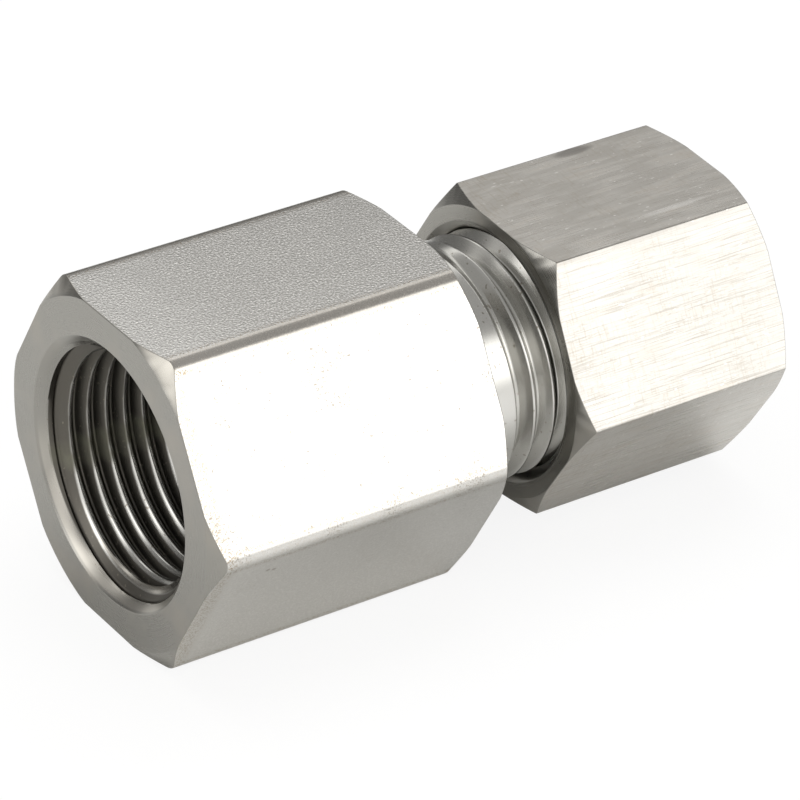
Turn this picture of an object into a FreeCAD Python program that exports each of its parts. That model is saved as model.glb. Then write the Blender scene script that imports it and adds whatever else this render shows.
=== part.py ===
import FreeCAD, Part
import math
import os
import Sketcher

# Female stud fitting for 8 mm tube: a hexagonal body with a female port at one end and a
# threaded stud with a 24 degree cone at the other, a cutting ring, and a union nut that is
# screwed part of the way onto the stud.
# Frame: the axis is +X, from the port to the tube, and the origin is the middle of the
# port's end face. The fitting lies on a flat of its body, so +Z is up. Millimetres.

doc = FreeCAD.newDocument("StudFitting")
sheet = doc.addObject("Spreadsheet::Sheet", "Sizes")

sizes = {
    # hexagonal body
    "bodyAcrossFlats": 22,
    "bodyHexLength": 21.7,
    "bodyEdgeRadius": 0.6,
    "bodyCornerDepth": 0.78,
    "hexChamferAngle": 30,
    # female port, G3/8, whose wall is the core of its thread
    "portCoreDiameter": 14.95,
    "portMouthDiameter": 17.8,
    "portDepth": 14,
    "drillPointAngle": 118,
    "flowBoreDiameter": 5,
    # stud, M16 x 1.5, with the tube's cone, socket and stop
    "threadDiameter": 16,
    "threadPitch": 1.5,
    "studLength": 12,
    "studEndChamfer": 0.9,
    "neckRadius": 1,
    "coneAngle": 24,
    "coneDepth": 4.7,
    "tubeDiameter": 8,
    "tubeClearance": 0.05,
    "tubeStopDepth": 7,
    # union nut
    "nutAcrossFlats": 19,
    "nutLength": 16.3,
    "nutEdgeRadius": 0.15,
    "nutCornerDepth": 0.73,
    "nutMouthDiameter": 17.3,
    "threadClearance": 0.05,
    "nutReliefLength": 0.8,
    "nutSeatDiameter": 14.4,
    "nutSeatAngle": 90,
    "nutHoleClearance": 0.15,
    "nutHoleLength": 1.85,
    "nutExitChamfer": 0.4,
    "nutTurnsBackedOff": 0.5,
    "nutPhase": 2.6,
    # cutting ring
    "ringNoseWall": 0.6,
    "ringConeLength": 3.4,
    "ringShoulderLength": 0.5,
    "ringCollarWidth": 0.6,
    "ringCollarDiameter": 12.6,
    "ringTailDiameter": 9.4,
    "ringLength": 8.7,
    "ringReliefDepth": 0.2,
    "ringReliefStart": 0.5,
    "ringReliefEnd": 1.9,
    "ringConeClearance": 0.06,
    "ringSeatClearance": 0.1,
}
for row, (name, value) in enumerate(sizes.items(), start=1):
    sheet.set(f"A{row}", name)
    sheet.set(f"B{row}", str(value))
    sheet.setAlias(f"B{row}", name)
doc.recompute()


def halfOf(name):
    return f"Sizes.{name} / 2"


# Sizes that several pieces share, as formulas on the sheet.
studRadius = halfOf("threadDiameter")
studEnd = "(Sizes.bodyHexLength + Sizes.studLength)"
tubeBoreRadius = "(Sizes.tubeDiameter / 2 + Sizes.tubeClearance)"
coneSlope = "tan(Sizes.coneAngle * 1 deg / 2)"
coneMouthRadius = f"({tubeBoreRadius} + Sizes.coneDepth * {coneSlope})"
nutBoreRadius = f"({studRadius} + Sizes.threadClearance)"
nutHoleRadius = "(Sizes.tubeDiameter / 2 + Sizes.nutHoleClearance)"
nutHoleStart = "(Sizes.nutLength - Sizes.nutExitChamfer - Sizes.nutHoleLength)"
noseRadius = f"({tubeBoreRadius} + Sizes.ringNoseWall)"
tailRadius = halfOf("ringTailDiameter")
seatSlope = "tan(Sizes.nutSeatAngle * 1 deg / 2)"


def seatDepthAt(radius):
    """Depth in the nut at which its inner cone has narrowed to this radius."""
    return f"({nutHoleStart} - ({radius} - {nutHoleRadius}) / {seatSlope})"


# The nut is turned back a little from where it presses the ring's nose into the cone, so
# the ring is placed from the stud's cone and the nut from the ring's tail.
noseDepth = f"({coneMouthRadius} - {noseRadius} - Sizes.ringConeClearance) / {coneSlope}"
backedOff = "Sizes.nutTurnsBackedOff * Sizes.threadPitch"
ringPlace = f"({studEnd} - {noseDepth} + {backedOff})"
tailGap = "Sizes.ringSeatClearance / sin(Sizes.nutSeatAngle * 1 deg / 2)"
nutPlace = f"{ringPlace} + Sizes.ringLength + {tailGap} - {seatDepthAt(tailRadius)}"


def newBody(label):
    body = doc.addObject("PartDesign::Body", label)
    body.Label = label
    return body


def newSketch(body, name, planeRole):
    sketch = body.newObject("Sketcher::SketchObject", name)
    plane = next(f for f in body.Origin.OriginFeatures if f.Role == planeRole)
    sketch.AttachmentSupport = (plane, [""])
    sketch.MapMode = "FlatFace"
    return sketch


def dimension(sketch, kind, first, second, name, formula):
    index = sketch.addConstraint(Sketcher.Constraint(kind, *first, *second, 1.0))
    sketch.renameConstraint(index, name)
    sketch.setExpression(f"Constraints.{name}", formula)


def drawLoop(sketch, corners):
    """Draw closed straight lines through the corners, whose places the constraints settle."""
    count = len(corners)
    first = sketch.GeometryCount
    for i in range(count):
        start = FreeCAD.Vector(*corners[i], 0)
        end = FreeCAD.Vector(*corners[(i + 1) % count], 0)
        sketch.addGeometry(Part.LineSegment(start, end), False)
    for i in range(count):
        following = first + (i + 1) % count
        sketch.addConstraint(Sketcher.Constraint("Coincident", first + i, 2, following, 1))
    return first


def drawProfile(sketch, name, points):
    """Draw a closed half section. Each point gives its place along and its distance from
    the axis as formulas, and "0" puts it on the sketch's own axis."""
    spread = [2 * math.pi * i / len(points) for i in range(len(points))]
    rough = [(10 + 5 * math.cos(a), 10 + 5 * math.sin(a)) for a in spread]
    first = drawLoop(sketch, rough)
    for i, (along, outward) in enumerate(points):
        for axis, kind, formula in ((-2, "DistanceX", along), (-1, "DistanceY", outward)):
            if formula == "0":
                sketch.addConstraint(Sketcher.Constraint("PointOnObject", first + i, 1, axis))
            else:
                label = f"{name}{kind[-1]}{i}"
                dimension(sketch, kind, (-1, 1), (first + i, 1), label, formula)


def turned(body, kind, name, *profiles):
    """Add a Revolution or a Groove about the body's axis, of one or more half sections."""
    sketch = newSketch(body, f"{name}Profile", "XY_Plane")
    for number, points in enumerate(profiles):
        drawProfile(sketch, f"p{number}", points)
    feature = body.newObject(f"PartDesign::{kind}", name)
    feature.Profile = sketch
    feature.ReferenceAxis = (sketch, ["H_Axis"])
    feature.Angle = 360
    doc.recompute()
    return feature


def hexagonPad(body, acrossFlats, length):
    """Add a hexagonal bar along +X with a flat on top."""
    sketch = newSketch(body, f"{body.Label}HexProfile", "YZ_Plane")
    around = [math.radians(60 * i) for i in range(6)]
    drawLoop(sketch, [(10 * math.cos(a), 10 * math.sin(a)) for a in around])
    axis = FreeCAD.Vector(0, 0, 1)
    circle = sketch.addGeometry(Part.Circle(FreeCAD.Vector(0, 0, 0), axis, 10), True)
    sketch.addConstraint(Sketcher.Constraint("Coincident", circle, 3, -1, 1))
    for side in range(6):
        sketch.addConstraint(Sketcher.Constraint("PointOnObject", side, 1, circle))
    for side in range(1, 6):
        sketch.addConstraint(Sketcher.Constraint("Equal", 0, side))
    topSide = 1
    sketch.addConstraint(Sketcher.Constraint("Horizontal", topSide))
    dimension(sketch, "DistanceY", (-1, 1), (topSide, 1), "flatHeight", halfOf(acrossFlats))
    pad = body.newObject("PartDesign::Pad", f"{body.Label}HexBar")
    pad.Profile = sketch
    pad.setExpression("Length", f"Sizes.{length}")
    doc.recompute()
    return pad


def lengthwiseEdges(feature):
    names = []
    for number, edge in enumerate(feature.Shape.Edges, start=1):
        direction = edge.tangentAt(edge.FirstParameter)
        if abs(direction.x) > 0.999:
            names.append(f"Edge{number}")
    return names


def circularEdge(feature, place, radius):
    """Name the edge that runs round the axis at this place with this radius."""
    for number, edge in enumerate(feature.Shape.Edges, start=1):
        if not isinstance(edge.Curve, Part.Circle):
            continue
        centre = edge.Curve.Center
        if abs(centre.x - place) < 0.001 and abs(edge.Curve.Radius - radius) < 0.001:
            return [f"Edge{number}"]
    raise RuntimeError(f"no edge of radius {radius} at {place}")


def dressed(body, kind, name, feature, edges, sizeProperty, formula):
    """Add a Fillet or a Chamfer on the named edges of a feature."""
    dressing = body.newObject(f"PartDesign::{kind}", name)
    dressing.Base = (feature, edges)
    dressing.setExpression(sizeProperty, formula)
    doc.recompute()
    return dressing


def hexCornerChamfers(body, acrossFlats, cornerDepth, length):
    """Turn the corners of the hexagon's two ends off to a cone, this deep at each corner."""
    slope = "tan(Sizes.hexChamferAngle * 1 deg)"
    inner = f"(Sizes.{acrossFlats} / sqrt(3) - Sizes.{cornerDepth} / {slope})"
    outer = f"(Sizes.{acrossFlats})"
    depth = f"(({outer} - {inner}) * {slope})"
    front = [("0", inner), ("0", outer), (depth, outer)]
    back = [
        (f"Sizes.{length}", inner),
        (f"Sizes.{length} - {depth}", outer),
        (f"Sizes.{length}", outer),
    ]
    return turned(body, "Groove", f"{body.Label}Corners", front, back)


# Fitting body: bar stock with softened long edges, turned at both ends.
fittingBody = newBody("fitting_body")
hexBar = hexagonPad(fittingBody, "bodyAcrossFlats", "bodyHexLength")
dressed(
    fittingBody, "Fillet", "BodyLongEdges", hexBar, lengthwiseEdges(hexBar),
    "Radius", "Sizes.bodyEdgeRadius",
)
hexCornerChamfers(fittingBody, "bodyAcrossFlats", "bodyCornerDepth", "bodyHexLength")

stud = turned(fittingBody, "Revolution", "Stud", [
    ("Sizes.bodyHexLength", "0"),
    ("Sizes.bodyHexLength", studRadius),
    (studEnd, studRadius),
    (studEnd, "0"),
])
hexEnd = sheet.bodyHexLength
neck = dressed(
    fittingBody, "Fillet", "StudNeck", stud,
    circularEdge(stud, hexEnd, sheet.threadDiameter / 2), "Radius", "Sizes.neckRadius",
)
dressed(
    fittingBody, "Chamfer", "StudEndChamfer", neck,
    circularEdge(neck, hexEnd + sheet.studLength, sheet.threadDiameter / 2),
    "Size", "Sizes.studEndChamfer",
)

portMouthRadius = halfOf("portMouthDiameter")
portRadius = halfOf("portCoreDiameter")
flowRadius = halfOf("flowBoreDiameter")
drillPoint = f"({portRadius} / tan(Sizes.drillPointAngle * 1 deg / 2))"
turned(fittingBody, "Groove", "FemalePort", [
    ("0", "0"),
    ("0", portMouthRadius),
    (f"{portMouthRadius} - {portRadius}", portRadius),
    ("Sizes.portDepth", portRadius),
    (f"Sizes.portDepth + {drillPoint}", "0"),
])
turned(fittingBody, "Groove", "FlowBore", [
    ("0", "0"),
    ("0", flowRadius),
    (studEnd, flowRadius),
    (studEnd, "0"),
])
turned(fittingBody, "Groove", "TubeSocket", [
    (f"{studEnd} - Sizes.tubeStopDepth", "0"),
    (f"{studEnd} - Sizes.tubeStopDepth", tubeBoreRadius),
    (f"{studEnd} - Sizes.coneDepth", tubeBoreRadius),
    (studEnd, coneMouthRadius),
    (studEnd, "0"),
])

# Cutting ring: two cutting edges inside the nose, a cone outside it, and a collar whose
# back slope sits in the nut's inner cone. It is drawn from its nose.
cuttingRing = newBody("cutting_ring")
waistRadius = f"({noseRadius} + Sizes.ringConeLength * {coneSlope})"
collarRadius = halfOf("ringCollarDiameter")
tailStart = f"(Sizes.ringLength - ({collarRadius} - {tailRadius}) / {seatSlope})"
collarStart = f"({tailStart} - Sizes.ringCollarWidth)"
turned(cuttingRing, "Revolution", "RingSection", [
    ("0", tubeBoreRadius),
    ("0", noseRadius),
    ("Sizes.ringConeLength", waistRadius),
    (f"{collarStart} - Sizes.ringShoulderLength", waistRadius),
    (collarStart, collarRadius),
    (tailStart, collarRadius),
    ("Sizes.ringLength", tailRadius),
    ("Sizes.ringLength", tubeBoreRadius),
])
turned(cuttingRing, "Groove", "CuttingEdges", [
    ("Sizes.ringReliefStart", "0"),
    ("Sizes.ringReliefStart", f"{tubeBoreRadius} + Sizes.ringReliefDepth"),
    ("Sizes.ringReliefEnd - Sizes.ringReliefDepth", f"{tubeBoreRadius} + Sizes.ringReliefDepth"),
    ("Sizes.ringReliefEnd", tubeBoreRadius),
    ("Sizes.ringReliefEnd", "0"),
])
cuttingRing.setExpression("Placement.Base.x", ringPlace)

# Union nut: threaded from its front, with the ring's seat and the tube's hole at the back.
unionNut = newBody("union_nut")
nutBar = hexagonPad(unionNut, "nutAcrossFlats", "nutLength")
dressed(
    unionNut, "Fillet", "NutLongEdges", nutBar, lengthwiseEdges(nutBar),
    "Radius", "Sizes.nutEdgeRadius",
)
hexCornerChamfers(unionNut, "nutAcrossFlats", "nutCornerDepth", "nutLength")
nutMouthRadius = halfOf("nutMouthDiameter")
seatRadius = halfOf("nutSeatDiameter")
seatStart = seatDepthAt(seatRadius)
threadEnd = f"({seatStart} - Sizes.nutReliefLength)"
turned(unionNut, "Groove", "NutCavity", [
    ("0", "0"),
    ("0", nutMouthRadius),
    (f"{nutMouthRadius} - {nutBoreRadius}", nutBoreRadius),
    (threadEnd, nutBoreRadius),
    (f"{threadEnd} + ({nutBoreRadius} - {seatRadius}) * tan(30 deg)", seatRadius),
    (seatStart, seatRadius),
    (nutHoleStart, nutHoleRadius),
    ("Sizes.nutLength - Sizes.nutExitChamfer", nutHoleRadius),
    ("Sizes.nutLength", f"{nutHoleRadius} + Sizes.nutExitChamfer"),
    ("Sizes.nutLength", "0"),
])
unionNut.Placement.Rotation = FreeCAD.Rotation(FreeCAD.Vector(1, 0, 0), sheet.nutPhase)
unionNut.setExpression("Placement.Base.x", nutPlace)
unionNut.setExpression("Placement.Rotation.Angle", "Sizes.nutPhase * 1 deg")
doc.recompute()

pieces = (fittingBody, cuttingRing, unionNut)
for thing in doc.Objects:
    if "Invalid" in thing.State or "Error" in thing.State:
        raise RuntimeError(f"{thing.Label} failed: {thing.State}")
for piece in pieces:
    if piece.Shape.isNull() or not piece.Shape.isValid() or len(piece.Shape.Solids) != 1:
        raise RuntimeError(f"{piece.Label} isn't one sound solid")
    before = None
    for feature in piece.Group:
        if not hasattr(feature, "Profile") and not hasattr(feature, "Base"):
            continue
        volume = feature.Shape.Volume
        if feature.TypeId == "PartDesign::Groove" and not volume < before - 0.1:
            raise RuntimeError(f"{feature.Label} cuts nothing")
        before = volume

os.makedirs("parts", exist_ok=True)
for piece in pieces:
    piece.Shape.exportStep(f"parts/{piece.Label}.step")
    box = piece.Shape.BoundBox
    print(piece.Label, round(piece.Shape.Volume, 1), "mm3, x", round(box.XMin, 3), round(box.XMax, 3))
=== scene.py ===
import math

import bmesh
import bpy
from mathutils import Matrix, Vector


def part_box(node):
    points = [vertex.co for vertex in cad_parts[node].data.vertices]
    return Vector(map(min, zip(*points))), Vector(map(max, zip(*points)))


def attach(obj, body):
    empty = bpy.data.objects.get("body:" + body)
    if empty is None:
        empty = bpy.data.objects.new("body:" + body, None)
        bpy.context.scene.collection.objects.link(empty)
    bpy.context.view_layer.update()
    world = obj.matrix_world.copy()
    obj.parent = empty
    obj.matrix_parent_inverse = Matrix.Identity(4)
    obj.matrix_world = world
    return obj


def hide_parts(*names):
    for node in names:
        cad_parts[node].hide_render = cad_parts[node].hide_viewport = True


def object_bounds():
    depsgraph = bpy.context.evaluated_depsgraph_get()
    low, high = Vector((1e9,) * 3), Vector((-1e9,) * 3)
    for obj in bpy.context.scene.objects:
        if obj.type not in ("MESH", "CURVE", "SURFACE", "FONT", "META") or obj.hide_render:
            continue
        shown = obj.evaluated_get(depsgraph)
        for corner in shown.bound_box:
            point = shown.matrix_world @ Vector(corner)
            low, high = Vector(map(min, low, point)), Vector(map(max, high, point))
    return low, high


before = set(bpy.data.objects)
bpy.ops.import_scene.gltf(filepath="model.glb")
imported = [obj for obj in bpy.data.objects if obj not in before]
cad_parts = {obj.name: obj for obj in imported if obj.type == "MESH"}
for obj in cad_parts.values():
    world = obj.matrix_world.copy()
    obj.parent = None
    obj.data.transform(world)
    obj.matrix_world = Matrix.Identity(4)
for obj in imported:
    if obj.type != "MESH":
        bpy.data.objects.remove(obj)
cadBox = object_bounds()
print("frame loaded")

# Pieces are drawn in millimetres about the X axis and brought to metres when they are done.
millimetre = 0.001
turnedSteps = 192       # segments round every turned surface
mergeDistance = 0.0015
planeTolerance = 0.0005
roundingGuard = 0.0001      # in turns, so that a crest on a whole turn counts as reached
sharpAngle = math.radians(38)
stepAngle = 2 * math.pi / turnedSteps


class Wire:
    # one socket of a material, so that masks and heights can be written as sums
    def __init__(self, shader, socket):
        self.shader = shader
        self.socket = socket

    def math(self, operation, *values):
        return self.shader.node("ShaderNodeMath", {"operation": operation}, dict(enumerate(values)))

    def __add__(self, other):
        return self.math("ADD", self, other)

    def __radd__(self, other):
        return self.math("ADD", other, self)

    def __sub__(self, other):
        return self.math("SUBTRACT", self, other)

    def __rsub__(self, other):
        return self.math("SUBTRACT", other, self)

    def __mul__(self, other):
        return self.math("MULTIPLY", self, other)

    def __rmul__(self, other):
        return self.math("MULTIPLY", other, self)

    def __truediv__(self, other):
        return self.math("DIVIDE", self, other)

    def __pow__(self, other):
        return self.math("POWER", self, other)

    def between(self, low, high, first=0.0, last=1.0):
        # goes smoothly from first to last while this value goes from low to high
        settings = {"interpolation_type": "SMOOTHSTEP"}
        sockets = {0: self, 1: low, 2: high, 3: first, 4: last}
        return self.shader.node("ShaderNodeMapRange", settings, sockets)


class Shader:
    def __init__(self, owner):
        owner.use_nodes = True
        self.tree = owner.node_tree
        self.tree.nodes.clear()

    def node(self, kind, settings=None, sockets=None, output=0):
        made = self.tree.nodes.new(kind)
        for name, value in (settings or {}).items():
            setattr(made, name, value)
        for name, value in (sockets or {}).items():
            if isinstance(value, Wire):
                self.tree.links.new(value.socket, made.inputs[name])
            else:
                made.inputs[name].default_value = value
        return Wire(self, made.outputs[output] if made.outputs else None)

    def place(self):
        return self.node("ShaderNodeTexCoord", output="Object")

    def axes(self, vector):
        parts = self.node("ShaderNodeSeparateXYZ", None, {0: vector})
        return [Wire(self, socket) for socket in parts.socket.node.outputs]

    def aroundAxis(self):
        # the place on the piece, its three parts and its distance from the X axis
        place = self.place()
        x, y, z = self.axes(place)
        return place, x, y, z, (y * y + z * z) ** 0.5

    def joined(self, x, y, z):
        return self.node("ShaderNodeCombineXYZ", None, {0: x, 1: y, 2: z})

    def noise(self, vector, scale, detail=2.0, roughness=0.5):
        sockets = {"Vector": vector, "Scale": scale, "Detail": detail, "Roughness": roughness}
        return self.node("ShaderNodeTexNoise", None, sockets)

    def blend(self, mask, first, second):
        # a colour that goes from the first to the second with the mask
        sockets = {0: mask, 6: first, 7: second}
        return self.node("ShaderNodeMix", {"data_type": "RGBA"}, sockets, output=2)

    def bump(self, height, depth):
        sockets = {"Height": height, "Distance": depth, "Strength": 1.0}
        return self.node("ShaderNodeBump", None, sockets)

    def spot(self, axes, centre, size):
        # a soft oval mask; centre and size in millimetres
        shares = [
            (axis - middle * millimetre) / (half * millimetre)
            for axis, middle, half in zip(axes, centre, size)
        ]
        return sum(share * share for share in shares).between(1.0, 0.2)

    def metal(self, colour, roughness, normal):
        steel = {"Base Color": colour, "Roughness": roughness, "Normal": normal, "Metallic": 1.0}
        surface = self.node("ShaderNodeBsdfPrincipled", None, steel)
        self.node("ShaderNodeOutputMaterial", None, {"Surface": surface})


def newMaterial(name):
    material = bpy.data.materials.new(name)
    return material, Shader(material)


def spun(points, steps, advance=0.0):
    # an open line of (along, radius) points, swept once round the X axis in a mesh of its own;
    # a third number on a point rounds that corner
    part = bmesh.new()
    spots = [part.verts.new((point[0], point[1], 0)) for point in points]
    for pair in zip(spots, spots[1:]):
        part.edges.new(pair)
    for width in sorted({point[2] for point in points if len(point) > 2}):
        corners = [
            spot for spot, point in zip(spots, points) if len(point) > 2 and point[2] == width
        ]
        bmesh.ops.bevel(
            part, geom=corners, offset=width, offset_type="OFFSET", segments=2, profile=0.5,
            affect="VERTICES", material=-1, clamp_overlap=True,
        )
    bmesh.ops.spin(
        part, geom=part.verts[:] + part.edges[:], cent=(0, 0, 0), axis=(1, 0, 0),
        dvec=(advance / steps, 0, 0), angle=2 * math.pi, steps=steps, use_merge=advance == 0,
        use_normal_flip=False, use_duplicate=False,
    )
    return part


def addPart(bm, part, finish=None):
    if finish is not None:
        for face in part.faces:
            face.material_index = finish
    mesh = bpy.data.meshes.new("part")
    part.to_mesh(mesh)
    part.free()
    bm.from_mesh(mesh)
    bpy.data.meshes.remove(mesh)


def turn(bm, points, finish):
    addPart(bm, spun(points, turnedSteps), finish)


def smooth(value):
    value = min(1, max(0, value))
    return value * value * (3 - 2 * value)


def cutThread(bm, thread, limit, finish):
    # one pitch of the thread is swept along its helix from crest to crest and repeated, then
    # its ends are gathered on the circles at start and end
    pitch, crest, depth = thread["pitch"], thread["crestRadius"], thread["depth"]
    land = thread["crestLand"] / 2
    flank = abs(depth) * math.tan(math.radians(thread["flankAngle"]))
    root = crest + depth
    first = thread["crestPlace"]
    while first > thread["start"] - pitch:
        first -= pitch
    turns = math.ceil((thread["end"] - first) / pitch)
    points = [
        (0, crest), (land, crest, thread["crestRound"]),
        (land + flank, root, thread["rootRound"]),
        (pitch - land - flank, root, thread["rootRound"]),
        (pitch - land, crest, thread["crestRound"]), (pitch, crest),
    ]
    part = spun([(first + point[0], *point[1:]) for point in points], turnedSteps, pitch)
    oneTurn = part.verts[:] + part.edges[:] + part.faces[:]
    for number in range(1, turns):
        copied = bmesh.ops.duplicate(part, geom=oneTurn)["geom"]
        spots = [item for item in copied if isinstance(item, bmesh.types.BMVert)]
        bmesh.ops.translate(part, verts=spots, vec=(number * pitch, 0, 0))
    for spot in part.verts:
        along, across, up = spot.co
        angle = round(math.atan2(up, across) / stepAngle) % turnedSteps * stepAngle
        share = angle / (2 * math.pi)
        turnsIn = math.floor((along - thread["crestPlace"]) / pitch - share + roundingGuard) + share
        fade = smooth((turnsIn - thread["fullFrom"]) / thread["runIn"] + 1)
        fade *= smooth((thread["fullTo"] - turnsIn) / thread["runOut"] + 1)
        radius = crest + (math.hypot(across, up) - crest) * fade
        along = min(thread["end"], max(thread["start"], along))
        radius = limit(along, radius)
        spot.co = (along, radius * math.cos(angle), radius * math.sin(angle))
    addPart(bm, part, finish)


def hexagonBar(bm, bar, flatFinish, endFinish):
    # the flats with their rounded long edges, and both ends with their corners turned off
    tilt = math.radians(30)
    apothem = bar["acrossFlats"] / 2
    reach = (apothem - bar["edgeRadius"]) / math.cos(tilt)
    halfFlat = reach * math.sin(tilt)
    outline = []
    for corner in range(6):
        for step in range(bar["edgeSteps"] + 1):
            swing = tilt * (2 * step / bar["edgeSteps"] - 1)
            outwards = reach + bar["edgeRadius"] * math.cos(swing)
            sideways = bar["edgeRadius"] * math.sin(swing)
            angle = corner * 2 * tilt + math.atan2(sideways, outwards)
            outline.append((angle, math.hypot(outwards, sideways)))
        for step in range(1, bar["flatSteps"]):
            sideways = halfFlat * (2 * step / bar["flatSteps"] - 1)
            angle = (corner * 2 + 1) * tilt + math.atan2(sideways, apothem)
            outline.append((angle, math.hypot(apothem, sideways)))

    # normals of the soft edges, from the end face to the chamfer and from there to the flat
    swings = [(True, 0), (True, 15), (True, 30), (False, 30), (False, 50), (False, 70), (False, 90)]
    soft = bar["softness"]
    faceRadius = 2 * apothem / math.sqrt(3) - bar["cornerDepth"] / math.tan(tilt)

    def endPlace(row, radius):
        onFace, swing = swings[row]
        innerCorner = (soft, faceRadius - soft * (2 - math.sqrt(3)))
        outerCorner = ((radius - faceRadius + soft) / (2 * math.cos(tilt)), radius - soft)
        if outerCorner[0] < soft:      # the chamfer doesn't reach this part of the flat
            innerCorner = outerCorner = (soft, radius - soft)
        along, out = innerCorner if onFace else outerCorner
        swing = math.radians(swing)
        return along - soft * math.cos(swing), out + soft * math.sin(swing)

    rows = 2 * len(swings)
    part = spun([(row, 1) for row in range(rows)], len(outline))
    for face in part.faces:
        row = math.floor(face.calc_center_median().x)
        face.material_index = flatFinish if row == len(swings) - 1 else endFinish
    for spot in part.verts:
        row = round(spot.co.x)
        step = round(math.atan2(spot.co.z, spot.co.y) / (2 * math.pi) * len(outline)) % len(outline)
        angle, radius = outline[step]
        if row < len(swings):
            along, radius = endPlace(row, radius)
        else:
            along, radius = endPlace(rows - 1 - row, radius)
            along = bar["length"] - along
        angle += math.radians(bar["phase"])
        spot.co = (bar["place"] + along, radius * math.cos(angle), radius * math.sin(angle))
    addPart(bm, part)


def closeFace(bm, place, finish):
    # fill the flat ring between the two open loops that lie in one plane
    loops = [
        edge for edge in bm.edges
        if edge.is_boundary and all(abs(spot.co.x - place) < planeTolerance for spot in edge.verts)
    ]
    for face in bmesh.ops.bridge_loops(bm, edges=loops)["faces"]:
        face.material_index = finish


def makePiece(bm, name, materials):
    bmesh.ops.remove_doubles(bm, verts=bm.verts, dist=mergeDistance)
    bmesh.ops.dissolve_degenerate(bm, edges=bm.edges, dist=mergeDistance / 3)
    bmesh.ops.recalc_face_normals(bm, faces=bm.faces)
    bm.transform(Matrix.Scale(millimetre, 4))
    for face in bm.faces:
        face.smooth = True
    for edge in bm.edges:
        edge.smooth = not edge.is_manifold or edge.calc_face_angle() < sharpAngle
    openEdges = sum(not edge.is_manifold for edge in bm.edges)
    triangles = sum(len(face.verts) - 2 for face in bm.faces)
    mesh = bpy.data.meshes.new(name)
    bm.to_mesh(mesh)
    bm.free()
    for material in materials:
        mesh.materials.append(material)
    piece = bpy.data.objects.new(name, mesh)
    bpy.context.scene.collection.objects.link(piece)
    weighted = piece.modifiers.new("FaceNormals", "WEIGHTED_NORMAL")
    weighted.keep_sharp = True
    print(name, triangles, "triangles,", openEdges, "open edges")
    return piece


steel = {
    "bar": (0.58, 0.57, 0.545, 1),
    "drawn": (0.55, 0.537, 0.51, 1),
    # the turned finish, darker than the bar's: partly painted shade for the ends' darker
    # reflections
    "turned": (0.318, 0.31, 0.288, 1),
    "thread": (0.59, 0.585, 0.56, 1),
    "dull": (0.36, 0.34, 0.31, 1),
    "warm": (0.50, 0.44, 0.37, 1),
    # a painted highlight's colour, for the port face's upper corners and its countersink
    "paintedHighlight": (0.46, 0.44, 0.40, 1),
    "bright": (0.86, 0.85, 0.83, 1),
    "speck": (0.27, 0.24, 0.20, 1),
    "beige": (0.34, 0.29, 0.225, 1),
    # colours that the threads darken to on their flanks and in their roots
    "deepDark": (0.10, 0.092, 0.078, 1),
    "darkTone": (0.36, 0.35, 0.315, 1),
    # the painted reflection's colour on the port's flanks
    "paintedReflection": (0.20, 0.195, 0.155, 1),
    "smudge": (0.17, 0.16, 0.15, 1),
    "grainScale": 6000,         # scales count per metre, depths are in metres
    "sparkleScale": 8000,
    "grainDepth": 0.000015,
    "toolMarkScale": 11000,     # across the axis
    "toolMarkPitch": 9000,      # along it
    "toolMarkDepth": 0.0000004,
    "flankMarkScale": 11000,
    "flankMarkDepth": 0.0000012,
    "drawnLineDepth": 0.000004,
    "barMarks": [(4.66, -11.56, -1.99), (4.18, -11.63, -1.85)],     # places in millimetres
    "barMarkSize": (0.2, 0.16, 0.16),
    "smudgeSpot": [(37.6, 4.6, 9.7), (1.8, 0.5, 0.6)],      # middle and half-widths
    "rubbedSpot": [(39.3, -4.07, 9.33), (3.2, 0.3, 0.4)],
}


def pickledSteel(name):
    # bar stock with a fine sparkling grain, few brown specks and duller flecks along its edges
    material, shader = newMaterial(name)
    place, x, y, z, radius = shader.aroundAxis()
    grain = shader.noise(place, steel["grainScale"], 2.0, 0.6)
    sparkle = shader.noise(place, steel["sparkleScale"], 1.0)
    coarse = z.between(0.003, 0.0105, 0.3, 1.0)     # the top flat is grainier than the others
    patches = shader.noise(place, 300, 2.0)
    rounding = radius.between(0.01238, 0.01247)     # the long edges
    endStrip = x.between(0.0017, 0.0008) * z.between(0.0108, 0.0104)
    border = radius.between(0.01218, 0.01236) * (1 - rounding * 0.6) + endStrip
    specks = shader.noise(place, 9500, 1.0).between(0.54, 0.64) * patches.between(0.54, 0.66)
    specks = specks + shader.noise(place, 5500, 0.0).between(0.78, 0.81)
    specks = specks * z.between(-0.002, 0.001, 0.2, 1) * z.between(0.0108, 0.0104)
    lighter = x.between(0.009, 0.001, 0, 0.3) * z.between(0.0103, 0.0107)     # left end on top
    wear = border * sparkle.between(0.50, 0.60)
    colour = shader.blend(sparkle.between(0.45, 0.68) * coarse, steel["bar"], steel["bright"])
    colour = shader.blend(lighter, colour, steel["bright"])
    colour = shader.blend(wear * 0.8, colour, steel["beige"])
    colour = shader.blend(rounding * z.between(0.007, 0.0095) * 0.3, colour, steel["beige"])
    colour = shader.blend(specks * 0.85, colour, steel["speck"])
    for centre in steel["barMarks"]:
        mark = shader.spot((x, y, z), centre, steel["barMarkSize"])
        colour = shader.blend(mark * 0.8, colour, steel["speck"])
    roughness = grain * 0.08 + 0.14 + rounding * 0.08
    height = grain * patches.between(0.3, 0.65, 0.75, 1.1) * (1 - rounding * 0.75) * coarse
    shader.metal(colour, roughness, shader.bump(height, steel["grainDepth"]))
    return material


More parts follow.
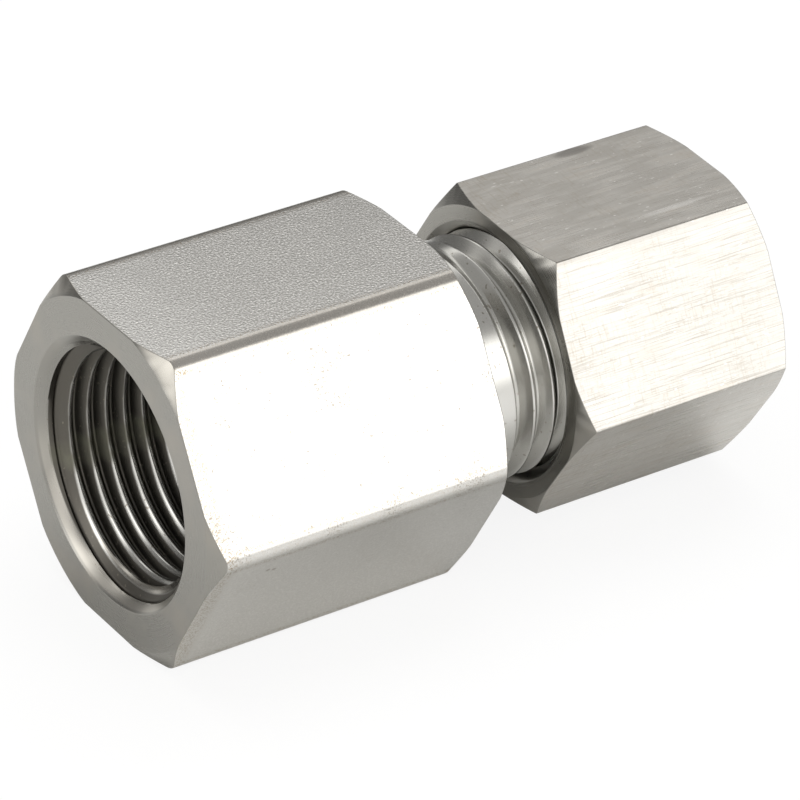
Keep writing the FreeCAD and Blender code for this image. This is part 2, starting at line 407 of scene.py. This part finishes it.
def turnedSteel(name, mouth=None):
    # faint circular tool marks about the axis; mouth is the port's radius on the body's ends
    material, shader = newMaterial(name)
    place, x, y, z, radius = shader.aroundAxis()
    drift = shader.noise(place, 200, 1.0)
    across = radius * steel["toolMarkScale"] + x * steel["toolMarkPitch"] + drift
    rings = shader.noise(shader.joined(across, 0.0, 0.0), 1.0, 2.0, 0.6)
    clouds = shader.noise(place, 260, 2.0)
    colour = shader.blend(rings.between(0.6, 0.35, 0, 0.04), steel["turned"], steel["dull"])
    colour = shader.blend(clouds.between(0.45, 0.75, 0, 0.2), colour, steel["warm"])
    if mouth:      # painted highlights: paler on the upper corners and low in the countersink
        corner = radius.between(0.0113, 0.0117) * z.between(0.002, 0.006)
        colour = shader.blend(corner * 0.8, colour, steel["paintedHighlight"])
        inside = radius.between((mouth + 0.05) * millimetre, mouth * millimetre)
        countersink = x.between(0.00008, 0.00018) * x.between(0.002, 0.0015) * inside
        colour = shader.blend(countersink * z.between(0, -0.004), colour, steel["paintedHighlight"])
    roughness = clouds * 0.06 + rings * 0.06 + 0.22
    shader.metal(colour, roughness, shader.bump(rings, steel["toolMarkDepth"]))
    return material


def threadSteel(name, thread, mouth=None):
    # bright crests, darker on the flanks and in the roots
    material, shader = newMaterial(name)
    place, x, y, z, radius = shader.aroundAxis()
    depth = (radius - thread["crestRadius"] * millimetre) / (thread["depth"] * millimetre)
    clouds = shader.noise(place, 700, 2.0)
    lengthwise = x * steel["flankMarkScale"]
    marks = shader.joined(lengthwise, radius * steel["flankMarkScale"], clouds * 2.0)
    marks = shader.noise(marks, 1.0, 1.0)
    bared = z.between(-0.002, -0.0075, -0.1, 0.2)     # painted highlight: less of the darkening low down, where the light's reflection widens the crests
    stain = (depth + clouds * 0.12 - 0.06 - bared).between(0.04, 0.22)
    specks = shader.noise(place, 3800, 0.0).between(0.77, 0.80)
    bare = steel["thread"]
    if mouth:      # the countersink cuts through the first turn and has the end face's colour there, with the same painted highlight low down and without the darkening
        cone = (radius + x).between((mouth + 0.07) * millimetre, (mouth + 0.02) * millimetre)
        stain = stain * (1 - cone)
        turned = shader.blend(z.between(0, -0.004), steel["turned"], steel["paintedHighlight"])
        bare = shader.blend(cone, steel["thread"], turned)
    colour = shader.blend(stain * thread["darkShare"], bare, steel[thread["darkTone"]])
    colour = shader.blend(specks * 0.7, colour, steel["speck"])
    roughness = stain * thread["filmRoughness"] + marks * 0.08 + 0.19
    # a painted reflection: a blurred olive-grey patch over the port's flanks and crests, with
    # rougher steel under it
    if "paintedReflection" in thread:
        oily = shader.spot((x, y, z), *thread["paintedReflection"])
        colour = shader.blend(oily * clouds.between(0.3, 0.6, 0.3, 0.8), colour, steel["paintedReflection"])
        roughness = roughness + oily * 0.14
    shader.metal(colour, roughness, shader.bump(marks, steel["flankMarkDepth"]))
    return material


def drawnSteel(name):
    # cold-drawn flats: fine lines along the bar, faint streaks across it, few scratches
    material, shader = newMaterial(name)
    place = shader.place()
    x, y, z = shader.axes(place)

    def stretched(lengthwise, across, detail, roughness=0.5):
        vector = shader.joined(x * lengthwise, y * across, z * across)
        return shader.noise(vector, 1.0, detail, roughness)

    lines = stretched(230, 13000, 3.0, 0.65)
    dashes = stretched(2000, 16000, 2.0, 0.6)
    streaks = stretched(260, 1500, 2.0)
    rubs = stretched(9000, 900, 3.0, 0.6)
    clouds = shader.noise(place, 170, 2.0)
    flecks = stretched(2500, 7000, 0.0).between(0.78, 0.82)
    colour = shader.blend(streaks.between(0.5, 0.8, 0, 0.35), steel["drawn"], steel["warm"])
    upper = z.between(0.0086, 0.0093)     # the top flat is streakier
    colour = shader.blend(lines.between(0.52, 0.33) * (0.8 - upper * 0.4), colour, steel["dull"])
    colour = shader.blend(streaks.between(0.65, 0.4, 0.15, 0.55) * upper, colour, steel["dull"])
    dashed = dashes.between(0.56, 0.7) * clouds.between(0.42, 0.58, 0.1, 0.5)
    colour = shader.blend(dashed, colour, steel["beige"])
    worn = clouds.between(0.4, 0.6, 0.08, 0.3) + x.between(0.034, 0.029, 0, 0.14)
    colour = shader.blend(rubs.between(0.5, 0.7) * worn, colour, steel["beige"])
    smudge = shader.spot((x, y, z), *steel["smudgeSpot"]) * lines.between(0.3, 0.5, 0.6, 1)
    colour = shader.blend(smudge * 0.7, colour, steel["smudge"])
    rubbed = shader.spot((x, y, z), *steel["rubbedSpot"])
    colour = shader.blend(rubbed * 0.3, colour, steel["bright"])
    colour = shader.blend(flecks * 0.5, colour, steel["bright"])
    roughness = lines * 0.1 + clouds * 0.08 + 0.2
    shader.metal(colour, roughness, shader.bump(lines, steel["drawnLineDepth"]))
    return material


# The fitting body, in millimetres and degrees, with the threads' limits in turns.
fittingBody = {
    "bar": {
        "acrossFlats": 22,
        "length": 21.7,
        "edgeRadius": 0.95,
        "edgeSteps": 8,
        "flatSteps": 16,
        "cornerDepth": 0.78,
        "softness": 0.07,
        "phase": 0,
        "place": 0,
    },
    "port": {
        "mouthRadius": 8.9,
        "rimWidth": 0.12,
        "rimRound": 0.04,
        "depth": 14,
        "drillAngle": 59,
        "flowRadius": 2.5,
        "cornerRound": 0.1,
    },
    "portThread": {
        "pitch": 1.337,
        "crestRadius": 7.475,
        "depth": 0.856,
        "crestLand": 0.223,
        "flankAngle": 27.5,
        "crestRound": 0.17,
        "rootRound": 0.1,
        "crestPlace": 0.43,
        "start": 0.5,
        "end": 13,
        "fullFrom": -20,
        "runIn": 1,
        "fullTo": 7.6,
        "runOut": 0.5,
        "darkTone": "deepDark",
        "darkShare": 0.95,
        "filmRoughness": 0.16,
        "paintedReflection": [(5, 7.2, -2.9), (7, 3, 1.3)],     # middle and half-widths of the painted reflection
    },
    "stud": {
        "length": 12,
        "radius": 8,
        "neckRadius": 1,
        "endChamfer": 0.9,
        "coneSlope": math.tan(math.radians(12)),
        "coneDepth": 4.7,
        "mouthRound": 0.06,
        "tubeBoreRadius": 4.05,
        "stopDepth": 7,
    },
    "studThread": {
        "pitch": 1.5,
        "crestRadius": 8,
        "depth": -0.9,
        "crestLand": 0.18,
        "flankAngle": 30,
        "crestRound": 0.05,
        "rootRound": 0.08,
        "crestPlace": 24.03,
        "start": 23.2,
        "end": 33.7,
        "fullFrom": 0.42,
        "runIn": 0.25,
        "fullTo": 20,
        "runOut": 1,
        "darkTone": "darkTone",
        "darkShare": 0.3,
        "filmRoughness": 0.02,
    },
}


def portLimit(along, radius):
    # the countersink cuts the thread's first turn
    return max(radius, fittingBody["port"]["mouthRadius"] - along)


def studLimit(along, radius):
    # and the end's chamfer its last one
    stud, end = fittingBody["stud"], fittingBody["studThread"]["end"]
    return min(radius, stud["radius"] - stud["endChamfer"] + end - along)


def makeBody():
    flatFinish, endFinish, portFinish, studFinish = range(4)
    bar, port, stud = fittingBody["bar"], fittingBody["port"], fittingBody["stud"]
    portThread, studThread = fittingBody["portThread"], fittingBody["studThread"]
    bm = bmesh.new()
    hexagonBar(bm, bar, flatFinish, endFinish)
    mouth, core, flow = port["mouthRadius"], portThread["crestRadius"], port["flowRadius"]
    turn(bm, [
        (0, mouth + port["rimWidth"]), (0, mouth, port["rimRound"]),
        (portThread["start"], mouth - portThread["start"]),
    ], endFinish)
    cutThread(bm, portThread, portLimit, portFinish)
    drillDepth = (core - flow) / math.tan(math.radians(port["drillAngle"]))
    hexBack = bar["length"]
    studEnd = hexBack + stud["length"]
    stop = studEnd - stud["stopDepth"]
    coneStart = studEnd - stud["coneDepth"]
    tube = stud["tubeBoreRadius"]
    coneMouth = tube + stud["coneDepth"] * stud["coneSlope"]
    soft = port["cornerRound"]
    turn(bm, [
        (portThread["end"], core), (port["depth"], core, soft),
        (port["depth"] + drillDepth, flow, soft), (stop, flow, soft), (stop, tube, soft),
        (coneStart, tube, soft), (studEnd, coneMouth, stud["mouthRound"]),
        (studEnd, stud["radius"] - stud["endChamfer"]),
    ], portFinish)
    cutThread(bm, studThread, studLimit, studFinish)
    fillet = stud["neckRadius"]
    neck = stud["radius"] + fillet
    angles = [math.radians(15 * step) for step in range(7)]
    turn(bm, [
        (hexBack + fillet - fillet * math.cos(angle), neck - fillet * math.sin(angle))
        for angle in angles
    ] + [(studThread["start"], stud["radius"])], studFinish)
    closeFace(bm, 0, endFinish)
    closeFace(bm, hexBack, endFinish)
    return makePiece(bm, "fitting_body_steel", [
        pickledSteel("pickled_bar_flats"), turnedSteel("turned_body_ends", mouth),
        threadSteel("port_thread", portThread, mouth), threadSteel("stud_thread", studThread),
    ])


body = makeBody()
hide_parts("fitting_body")
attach(body, "fitting_body")
print("fitting body done")


# The union nut, whose thread runs in the stud's.
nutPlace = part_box("union_nut")[0].x / millimetre
unionNut = {
    "bar": {
        "acrossFlats": 19,
        "length": 16.3,
        "edgeRadius": 0.15,
        "edgeSteps": 4,
        "flatSteps": 16,
        "cornerDepth": 0.73,
        "softness": 0.05,
        "phase": 2.6,
        "place": nutPlace,
    },
    "bore": {
        "mouthRadius": 8.65,
        "rimWidth": 0.12,
        "rimRound": 0.04,
        "seatRadius": 7.2,
        "seatRound": 0.1,
        "holeRadius": 4.15,
        "holeLength": 1.85,
        "exitChamfer": 0.4,
    },
    "thread": {
        "pitch": fittingBody["studThread"]["pitch"],
        "crestRadius": 7.2,
        "depth": 0.85,
        "crestLand": 0.296,
        "flankAngle": 30,
        "crestRound": 0.05,
        "rootRound": 0.05,
        "crestPlace": (
            fittingBody["studThread"]["crestPlace"] + fittingBody["studThread"]["pitch"] / 2
        ),
        "start": nutPlace + 0.55,
        "end": nutPlace + 10.7,
        "fullFrom": -20,
        "runIn": 1,
        "fullTo": 8.2,
        "runOut": 0.5,
        "darkTone": "darkTone",
        "darkShare": 0.9,
        "filmRoughness": 0.1,
    },
}


def nutLimit(along, radius):
    return max(radius, unionNut["bore"]["mouthRadius"] - along + nutPlace)


def makeNut():
    flatFinish, endFinish, threadFinish = range(3)
    bar, bore, thread = unionNut["bar"], unionNut["bore"], unionNut["thread"]
    bm = bmesh.new()
    hexagonBar(bm, bar, flatFinish, endFinish)
    front, mouth = bar["place"], bore["mouthRadius"]
    back = front + bar["length"]
    turn(bm, [
        (front, mouth + bore["rimWidth"]), (front, mouth, bore["rimRound"]),
        (thread["start"], mouth - thread["start"] + front),
    ], endFinish)
    cutThread(bm, thread, nutLimit, threadFinish)
    seat, hole, soft = bore["seatRadius"], bore["holeRadius"], bore["seatRound"]
    holeEnd = back - bore["exitChamfer"]
    holeStart = holeEnd - bore["holeLength"]
    outer = hole + bore["exitChamfer"]
    turn(bm, [
        (thread["end"], seat), (holeStart - (seat - hole), seat, soft), (holeStart, hole, soft),
        (holeEnd, hole, soft), (back, outer, bore["rimRound"]), (back, outer + bore["rimWidth"]),
    ], endFinish)
    closeFace(bm, front, endFinish)
    closeFace(bm, back, endFinish)
    return makePiece(bm, "union_nut_steel", [
        drawnSteel("drawn_nut_flats"), turnedSteel("turned_nut_ends"),
        threadSteel("nut_thread", thread),
    ])


nut = makeNut()
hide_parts("union_nut")
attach(nut, "union_nut")
print("union nut done")

# The cutting ring's own solid is right as it is, so it only gets its finish.
ringMaterial = turnedSteel("turned_ring")
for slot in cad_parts["cutting_ring"].material_slots:
    slot.material = ringMaterial
print("cutting ring done")


studio = {
    "floorSize": 2.0,
    "floorCells": 8,
    "floorPlace": 0.02,
    "floorColour": (0.90, 0.90, 0.89, 1),
    "white": (1, 1, 1, 1),
    "skyColour": (1.0, 0.99, 0.97, 1),
    "shownColour": (0.98, 0.98, 0.97, 1),   # the floor as the steel shows it, painted nearly white beside the fitting
    "dimColour": (0.61, 0.61, 0.60, 1),     # painted shade a little further in front
    "sideColour": (0.78, 0.78, 0.77, 1),    # painted shade behind it and off its port
    "farColour": (0.22, 0.22, 0.22, 1),     # and a deep painted shade far behind
    "floorWhite": 0.88,      # how far the floor goes to plain white for the camera
    "frontLimits": (0.05, 0.22),    # where the white wall begins, from behind to the front
    "frontLevels": (1.1, 2.6),    # from the horizon up to the wall; steel that shows it clips
    "backLevels": (0.2, 1.8),     # from the horizon behind up to the light strip above it
    "topLevel": 0.46,
    "panelLevel": 1.3,      # on the left behind, for the port's countersink
    "gapShare": 0.62,       # how much weaker the white wall is to the left in front
    "lampDirection": (0.1, 0.15, 0.98),
    "lampDistance": 0.6,
    "lampSize": 0.6,
    "lampLevel": 2.32,      # its brightness as a surface
}


def lightPath(shader):
    # masks for what the camera sees directly or through something, and for reflections
    outputs = shader.node("ShaderNodeLightPath").socket.node.outputs
    camera = Wire(shader, outputs["Is Camera Ray"]) + Wire(shader, outputs["Is Transmission Ray"])
    return camera, Wire(shader, outputs["Is Glossy Ray"])


def makeFloor():
    # nearly white for the camera; reflections see it lit, with shades painted on it for the steel
    bm = bmesh.new()
    cells = studio["floorCells"]
    bmesh.ops.create_grid(bm, x_segments=cells, y_segments=cells, size=studio["floorSize"] / 2)
    bmesh.ops.translate(bm, verts=bm.verts, vec=(studio["floorPlace"], 0, cadBox[0].z))
    mesh = bpy.data.meshes.new("floor")
    bm.to_mesh(mesh)
    bm.free()
    floor = bpy.data.objects.new("floor", mesh)
    bpy.context.scene.collection.objects.link(floor)
    material, shader = newMaterial("floor_with_painted_shades")
    camera, glossy = lightPath(shader)
    x, y = shader.axes(shader.place())[:2]
    dim = y.between(-0.0065, -0.0125) * x.between(0.0, 0.026, 0.45, 1)
    shown = shader.blend(dim, studio["shownColour"], studio["dimColour"])
    shown = shader.blend(y.between(-0.0135, -0.034), shown, studio["white"])
    shown = shader.blend(y.between(-0.005, -0.002), shown, studio["sideColour"])
    shown = shader.blend(x.between(0.002, -0.003), shown, studio["sideColour"])
    shown = shader.blend(y.between(0.06, 0.16), shown, studio["farColour"])
    colour = shader.blend(glossy, studio["floorColour"], shown)
    paper = shader.node("ShaderNodeBsdfDiffuse", None, {"Color": colour})
    white = {"Color": studio["white"], "Strength": 1.0}
    white = shader.node("ShaderNodeEmission", None, white)
    share = camera * studio["floorWhite"]
    mixed = shader.node("ShaderNodeMixShader", None, {0: share, 1: paper, 2: white})
    shader.node("ShaderNodeOutputMaterial", None, {"Surface": mixed})
    mesh.materials.append(material)


def makeWorld():
    # white for the camera alone; light and reflections come from an uneven room, which is bright
    # in front, weaker to the left, and darker behind and overhead
    world = bpy.data.worlds.new("studio")
    bpy.context.scene.world = world
    shader = Shader(world)
    camera = lightPath(shader)[0]
    x, y, z = shader.axes(shader.node("ShaderNodeTexCoord", output="Generated"))
    gap = x.between(0.28, -0.1) * y.between(0.25, -0.1) * studio["gapShare"]
    ahead = -0.6 * x - 0.8 * y
    front = ahead.between(*studio["frontLimits"]) * z.between(0.70, 0.58) * (1 - gap)
    top = (z + ahead.between(-0.4, 0.0) * 0.35).between(0.645, 0.775)
    behind = z.between(0.42, 0.69, *studio["backLevels"])
    panel = x.between(-0.25, -0.45) * y.between(0.15, 0.4) * z.between(0.33, 0.43)
    behind = behind * (1 - panel) + panel * studio["panelLevel"]
    level = behind * (1 - top) + top * studio["topLevel"]
    level = level * (1 - front) + front * z.between(0.0, 0.25, *studio["frontLevels"])
    sky = {"Color": studio["skyColour"], "Strength": level}
    sky = shader.node("ShaderNodeBackground", None, sky)
    white = {"Color": studio["white"], "Strength": 1.0}
    white = shader.node("ShaderNodeBackground", None, white)
    mixed = shader.node("ShaderNodeMixShader", None, {0: camera, 1: sky, 2: white})
    shader.node("ShaderNodeOutputWorld", None, {"Surface": mixed})


def makeLamp():
    # an area lamp overhead that faces the fitting's middle
    lamp = bpy.data.lights.new("top_box", "AREA")
    lamp.shape = "RECTANGLE"
    lamp.size = lamp.size_y = studio["lampSize"]
    lamp.energy = studio["lampLevel"] * math.pi * studio["lampSize"] * studio["lampSize"]
    box = bpy.data.objects.new("top_box", lamp)
    bpy.context.scene.collection.objects.link(box)
    direction = Vector(studio["lampDirection"]).normalized()
    middle = (cadBox[0] + cadBox[1]) / 2
    box.matrix_world = Matrix.Translation(middle + direction * studio["lampDistance"]) @ (
        direction.to_track_quat("Z", "Y").to_matrix().to_4x4()
    )
    box.visible_camera = box.visible_glossy = False


makeFloor()
makeWorld()
makeLamp()
print("studio done")


cameraSizes = {
    "place": (-138.76, -231.04, 169.67),
    "forward": (0.48694, 0.70188, -0.51987),
    "up": (0.27168, 0.44396, 0.85387),
    "lens": 234.3,
    "sensorWidth": 36,
    "clipStart": 0.01,
}
lensData = bpy.data.cameras.new("camera")
lensData.lens = cameraSizes["lens"]
lensData.sensor_width = cameraSizes["sensorWidth"]
lensData.clip_start = cameraSizes["clipStart"]
camera = bpy.data.objects.new("camera", lensData)
bpy.context.scene.collection.objects.link(camera)
forward = Vector(cameraSizes["forward"]).normalized()
right = forward.cross(Vector(cameraSizes["up"])).normalized()
up = right.cross(forward)
turnMatrix = Matrix((right, up, -forward)).transposed().to_4x4()
camera.matrix_world = Matrix.Translation(Vector(cameraSizes["place"]) * millimetre) @ turnMatrix
bpy.context.scene.camera = camera
bpy.context.scene.view_settings.view_transform = "Standard"
print("camera done")
